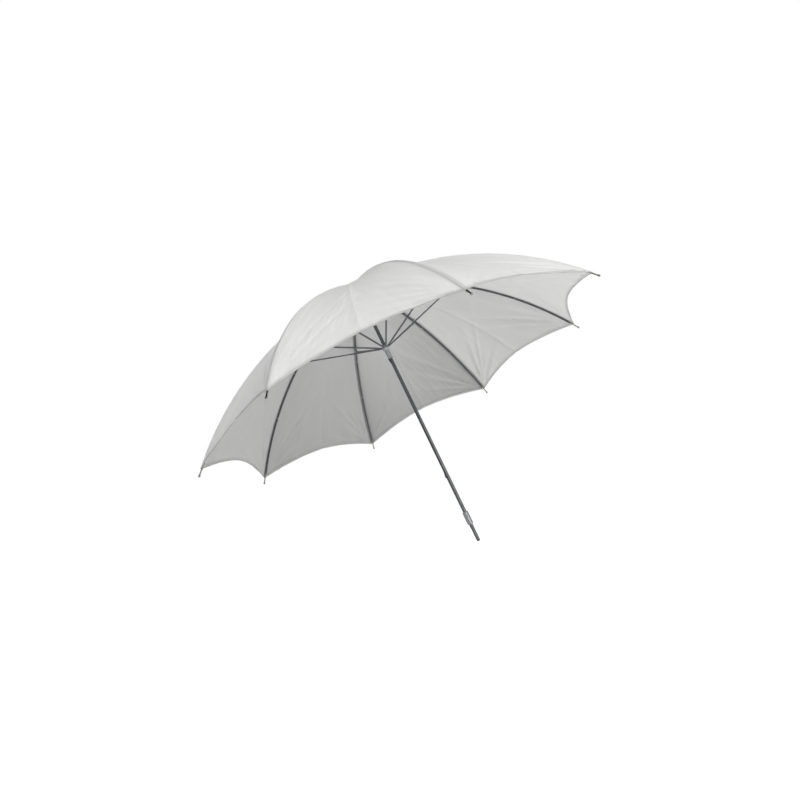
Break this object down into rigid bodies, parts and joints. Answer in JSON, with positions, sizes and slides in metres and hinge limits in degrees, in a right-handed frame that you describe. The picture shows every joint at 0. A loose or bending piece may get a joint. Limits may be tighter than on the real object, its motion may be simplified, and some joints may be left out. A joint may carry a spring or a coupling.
{
  "type": "umbrella reflector",
  "caption": "Folding white umbrella reflector: ribbed satin canopy, stretchers and sliding runner on a slim steel shaft that clamps to a light stand.",
  "frame": {"origin": "on the shaft's axis, at the middle of the bare end that a clamp takes", "axes": "+Z along the shaft to the crown; rib 1 lies over -X and the ribs are numbered clockwise seen from above"},
  "size_m": [0.9612, 0.9612, 0.6523],
  "materials": {
    "shaft_chrome": "polished, darkened by what it reflects",
    "sleeve_chrome": "polished",
    "end_plastic": "satin",
    "hub_metal": "satin",
    "wire_steel": "bright",
    "cap_plastic": "gloss",
    "catch_steel": "bright spring steel",
    "frame_steel": "dark satin",
    "clip_steel": "satin",
    "rivet_steel": "bright",
    "tip_nickel": "nickel plated",
    "canopy_nylon": "white satin, translucent"
  },
  "bodies": {
    "shaft": {"shaft_tube": "shaft_chrome", "end_plug": "end_plastic", "adapter_sleeve": "sleeve_chrome", "crown_notch": "hub_metal", "crown_wire": "wire_steel", "crown_pin": "wire_steel", "canopy_washer": "cap_plastic", "top_cap": "cap_plastic"},
    "rib_1": {"rib_1": "frame_steel", "tip_1": "tip_nickel", "rib_clip_1": "clip_steel", "joint_rivet_1": "rivet_steel", "canopy_panel_1": "canopy_nylon"},
    "stretcher_1": {"stretcher_1": "frame_steel"},
    "rib_2": {"rib_2": "frame_steel", "tip_2": "tip_nickel", "rib_clip_2": "clip_steel", "joint_rivet_2": "rivet_steel", "canopy_panel_2": "canopy_nylon"},
    "stretcher_2": {"stretcher_2": "frame_steel"},
    "rib_3": {"rib_3": "frame_steel", "tip_3": "tip_nickel", "rib_clip_3": "clip_steel", "joint_rivet_3": "rivet_steel", "canopy_panel_3": "canopy_nylon"},
    "stretcher_3": {"stretcher_3": "frame_steel"},
    "rib_4": {"rib_4": "frame_steel", "tip_4": "tip_nickel", "rib_clip_4": "clip_steel", "joint_rivet_4": "rivet_steel", "canopy_panel_4": "canopy_nylon"},
    "stretcher_4": {"stretcher_4": "frame_steel"},
    "rib_5": {"rib_5": "frame_steel", "tip_5": "tip_nickel", "rib_clip_5": "clip_steel", "joint_rivet_5": "rivet_steel", "canopy_panel_5": "canopy_nylon"},
    "stretcher_5": {"stretcher_5": "frame_steel"},
    "rib_6": {"rib_6": "frame_steel", "tip_6": "tip_nickel", "rib_clip_6": "clip_steel", "joint_rivet_6": "rivet_steel", "canopy_panel_6": "canopy_nylon"},
    "stretcher_6": {"stretcher_6": "frame_steel"},
    "rib_7": {"rib_7": "frame_steel", "tip_7": "tip_nickel", "rib_clip_7": "clip_steel", "joint_rivet_7": "rivet_steel", "canopy_panel_7": "canopy_nylon"},
    "stretcher_7": {"stretcher_7": "frame_steel"},
    "rib_8": {"rib_8": "frame_steel", "tip_8": "tip_nickel", "rib_clip_8": "clip_steel", "joint_rivet_8": "rivet_steel", "canopy_panel_8": "canopy_nylon"},
    "stretcher_8": {"stretcher_8": "frame_steel"},
    "runner": {"runner": "hub_metal", "runner_wire": "wire_steel"},
    "top_catch": {"top_catch": "catch_steel"},
    "bottom_catch": {"bottom_catch": "catch_steel"}
  },
  "joints": [
    {"name": "rib_1_fold", "type": "hinge", "parent": "shaft", "child": "rib_1", "pos_m": [-0.0065, 0, 0.624], "axis": [0, -1, 0], "range_deg": [0, 56], "deforming": ["canopy_panel_1", "top_catch", "bottom_catch"]},
    {"name": "stretcher_1_swing", "type": "hinge", "parent": "rib_1", "child": "stretcher_1", "pos_m": [-0.212, 0, 0.54], "axis": [0, -1, 0], "range_deg": [-112, 0]},
    {"name": "rib_2_fold", "type": "hinge", "parent": "shaft", "child": "rib_2", "pos_m": [-0.0046, 0.0046, 0.624], "axis": [-0.7071, -0.7071, 0], "range_deg": [0, 56], "deforming": ["canopy_panel_2"]},
    {"name": "stretcher_2_swing", "type": "hinge", "parent": "rib_2", "child": "stretcher_2", "pos_m": [-0.14991, 0.14991, 0.54], "axis": [-0.7071, -0.7071, 0], "range_deg": [-112, 0]},
    {"name": "rib_3_fold", "type": "hinge", "parent": "shaft", "child": "rib_3", "pos_m": [0, 0.0065, 0.624], "axis": [-1, 0, 0], "range_deg": [0, 56], "deforming": ["canopy_panel_3"]},
    {"name": "stretcher_3_swing", "type": "hinge", "parent": "rib_3", "child": "stretcher_3", "pos_m": [0, 0.212, 0.54], "axis": [-1, 0, 0], "range_deg": [-112, 0]},
    {"name": "rib_4_fold", "type": "hinge", "parent": "shaft", "child": "rib_4", "pos_m": [0.0046, 0.0046, 0.624], "axis": [-0.7071, 0.7071, 0], "range_deg": [0, 56], "deforming": ["canopy_panel_4"]},
    {"name": "stretcher_4_swing", "type": "hinge", "parent": "rib_4", "child": "stretcher_4", "pos_m": [0.14991, 0.14991, 0.54], "axis": [-0.7071, 0.7071, 0], "range_deg": [-112, 0]},
    {"name": "rib_5_fold", "type": "hinge", "parent": "shaft", "child": "rib_5", "pos_m": [0.0065, 0, 0.624], "axis": [0, 1, 0], "range_deg": [0, 56], "deforming": ["canopy_panel_5"]},
    {"name": "stretcher_5_swing", "type": "hinge", "parent": "rib_5", "child": "stretcher_5", "pos_m": [0.212, 0, 0.54], "axis": [0, 1, 0], "range_deg": [-112, 0]},
    {"name": "rib_6_fold", "type": "hinge", "parent": "shaft", "child": "rib_6", "pos_m": [0.0046, -0.0046, 0.624], "axis": [0.7071, 0.7071, 0], "range_deg": [0, 56], "deforming": ["canopy_panel_6"]},
    {"name": "stretcher_6_swing", "type": "hinge", "parent": "rib_6", "child": "stretcher_6", "pos_m": [0.14991, -0.14991, 0.54], "axis": [0.7071, 0.7071, 0], "range_deg": [-112, 0]},
    {"name": "rib_7_fold", "type": "hinge", "parent": "shaft", "child": "rib_7", "pos_m": [0, -0.0065, 0.624], "axis": [1, 0, 0], "range_deg": [0, 56], "deforming": ["canopy_panel_7"]},
    {"name": "stretcher_7_swing", "type": "hinge", "parent": "rib_7", "child": "stretcher_7", "pos_m": [0, -0.212, 0.54], "axis": [1, 0, 0], "range_deg": [-112, 0]},
    {"name": "rib_8_fold", "type": "hinge", "parent": "shaft", "child": "rib_8", "pos_m": [-0.0046, -0.0046, 0.624], "axis": [0.7071, -0.7071, 0], "range_deg": [0, 56], "deforming": ["canopy_panel_8"]},
    {"name": "stretcher_8_swing", "type": "hinge", "parent": "rib_8", "child": "stretcher_8", "pos_m": [-0.14991, -0.14991, 0.54], "axis": [0.7071, -0.7071, 0], "range_deg": [-112, 0]},
    {"name": "runner_travel", "type": "hinge", "parent": "stretcher_1", "child": "runner", "pos_m": [-0.0065, 0, 0.456], "axis": [0, -1, 0], "range_deg": [0, 56]},
    {"name": "top_catch_press", "type": "slide", "parent": "shaft", "child": "top_catch", "axis": [-0.9239, -0.3827, 0], "range_m": [-0.0033, 0], "stiffness_N_per_m": 900},
    {"name": "bottom_catch_press", "type": "slide", "parent": "shaft", "child": "bottom_catch", "axis": [-0.9239, -0.3827, 0], "range_m": [-0.0033, 0], "stiffness_N_per_m": 900}
  ],
  "couplings": [
    {"joint": "stretcher_1_swing", "follows": "rib_1_fold", "ratio": -2},
    {"joint": "rib_2_fold", "follows": "rib_1_fold", "ratio": 1},
    {"joint": "stretcher_2_swing", "follows": "rib_1_fold", "ratio": -2},
    {"joint": "rib_3_fold", "follows": "rib_1_fold", "ratio": 1},
    {"joint": "stretcher_3_swing", "follows": "rib_1_fold", "ratio": -2},
    {"joint": "rib_4_fold", "follows": "rib_1_fold", "ratio": 1},
    {"joint": "stretcher_4_swing", "follows": "rib_1_fold", "ratio": -2},
    {"joint": "rib_5_fold", "follows": "rib_1_fold", "ratio": 1},
    {"joint": "stretcher_5_swing", "follows": "rib_1_fold", "ratio": -2},
    {"joint": "rib_6_fold", "follows": "rib_1_fold", "ratio": 1},
    {"joint": "stretcher_6_swing", "follows": "rib_1_fold", "ratio": -2},
    {"joint": "rib_7_fold", "follows": "rib_1_fold", "ratio": 1},
    {"joint": "stretcher_7_swing", "follows": "rib_1_fold", "ratio": -2},
    {"joint": "rib_8_fold", "follows": "rib_1_fold", "ratio": 1},
    {"joint": "stretcher_8_swing", "follows": "rib_1_fold", "ratio": -2},
    {"joint": "runner_travel", "follows": "rib_1_fold", "ratio": 1}
  ]
}
